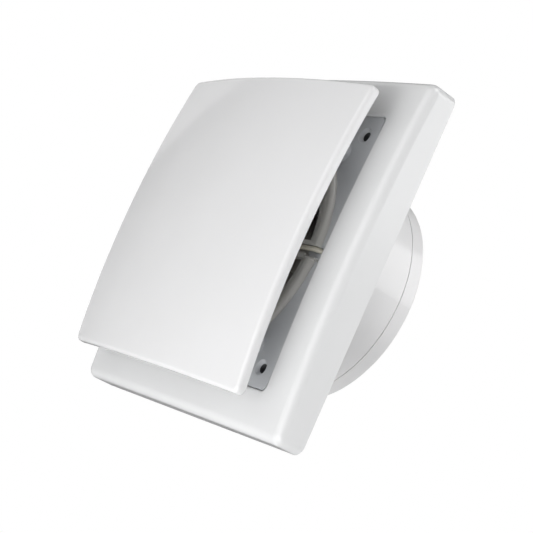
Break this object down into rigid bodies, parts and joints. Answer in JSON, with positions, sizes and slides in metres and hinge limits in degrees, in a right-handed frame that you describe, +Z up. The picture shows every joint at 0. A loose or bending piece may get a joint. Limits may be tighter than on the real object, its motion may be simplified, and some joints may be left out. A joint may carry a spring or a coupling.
{
  "type": "bathroom extractor fan",
  "caption": "Square wall fan with a raised front panel, axial impeller on a shaded-pole motor, round duct spigot and back-draught flaps.",
  "frame": {"origin": "on the duct axis, in the plane of the wall that the flange rests on", "axes": "+X right as seen from the room, +Y into the wall along the duct, +Z up"},
  "size_m": [0.15, 0.0818, 0.15],
  "materials": {
    "frame": "satin white moulding",
    "front_panel": "polished white moulding",
    "housing": "satin white moulding",
    "duct_tube": "satin white moulding",
    "motor_bracket": "satin white moulding",
    "motor_cap": "satin white moulding",
    "stator_core": "stacked laminations",
    "pole_bobbins": "black moulding",
    "pole_windings": "enamelled copper wire",
    "shading_rings": "bare copper",
    "rotor_core": "stacked laminations",
    "rotor_cage": "die cast",
    "motor_shaft": "ground",
    "front_bearing": "sintered bronze",
    "rear_bearing": "sintered bronze",
    "thrust_washers": "nylon",
    "motor_lead": "soft beige sheath",
    "impeller": "satin white moulding",
    "impeller_nut": "turned",
    "cap_screws": "zinc plated",
    "bracket_screws": "zinc plated",
    "cover_screw": "zinc plated",
    "terminal_block": "cream moulding",
    "terminal_clamps": "turned",
    "terminal_screws": "zinc plated",
    "terminal_cover": "satin white moulding",
    "cable_grommet": "black rubber",
    "shutter_ring": "satin white moulding",
    "flap_pin": "drawn wire",
    "right_flap": "satin white moulding",
    "left_flap": "satin white moulding",
    "right_flap_spring": "spring wire",
    "left_flap_spring": "spring wire"
  },
  "bodies": {
    "fan_body": {"frame": "frame", "housing": "housing", "duct_tube": "duct_tube", "motor_bracket": "motor_bracket", "motor_cap": "motor_cap", "stator_core": "stator_core", "pole_bobbins": "pole_bobbins", "pole_windings": "pole_windings", "shading_rings": "shading_rings", "front_bearing": "front_bearing", "rear_bearing": "rear_bearing", "motor_lead": "motor_lead", "cap_screws": "cap_screws", "bracket_screws": "bracket_screws", "cover_screw": "cover_screw", "terminal_block": "terminal_block", "terminal_clamps": "terminal_clamps", "terminal_screws": "terminal_screws", "terminal_cover": "terminal_cover", "cable_grommet": "cable_grommet", "shutter_ring": "shutter_ring", "flap_pin": "flap_pin"},
    "front_panel": {"front_panel": "front_panel"},
    "right_flap": {"right_flap": "right_flap", "right_flap_spring": "right_flap_spring"},
    "left_flap": {"left_flap": "left_flap", "left_flap_spring": "left_flap_spring"},
    "spinner": {"rotor_core": "rotor_core", "rotor_cage": "rotor_cage", "motor_shaft": "motor_shaft", "thrust_washers": "thrust_washers", "impeller": "impeller", "impeller_nut": "impeller_nut"}
  },
  "joints": [
    {"name": "impeller_spin", "type": "hinge", "parent": "fan_body", "child": "spinner", "pos_m": [0, 0, 0], "axis": [0, 1, 0], "continuous": true},
    {"name": "panel_pull", "type": "slide", "parent": "fan_body", "child": "front_panel", "axis": [0, -1, 0], "range_m": [0, 0.011]},
    {"name": "right_flap_swing", "type": "hinge", "parent": "fan_body", "child": "right_flap", "pos_m": [0, 0.03828, 0], "axis": [0, 0, 1], "range_deg": [0, 80], "stiffness_Nm_per_rad": 0.0005},
    {"name": "left_flap_swing", "type": "hinge", "parent": "fan_body", "child": "left_flap", "pos_m": [0, 0.03828, 0], "axis": [0, 0, -1], "range_deg": [0, 80], "stiffness_Nm_per_rad": 0.0005}
  ]
}
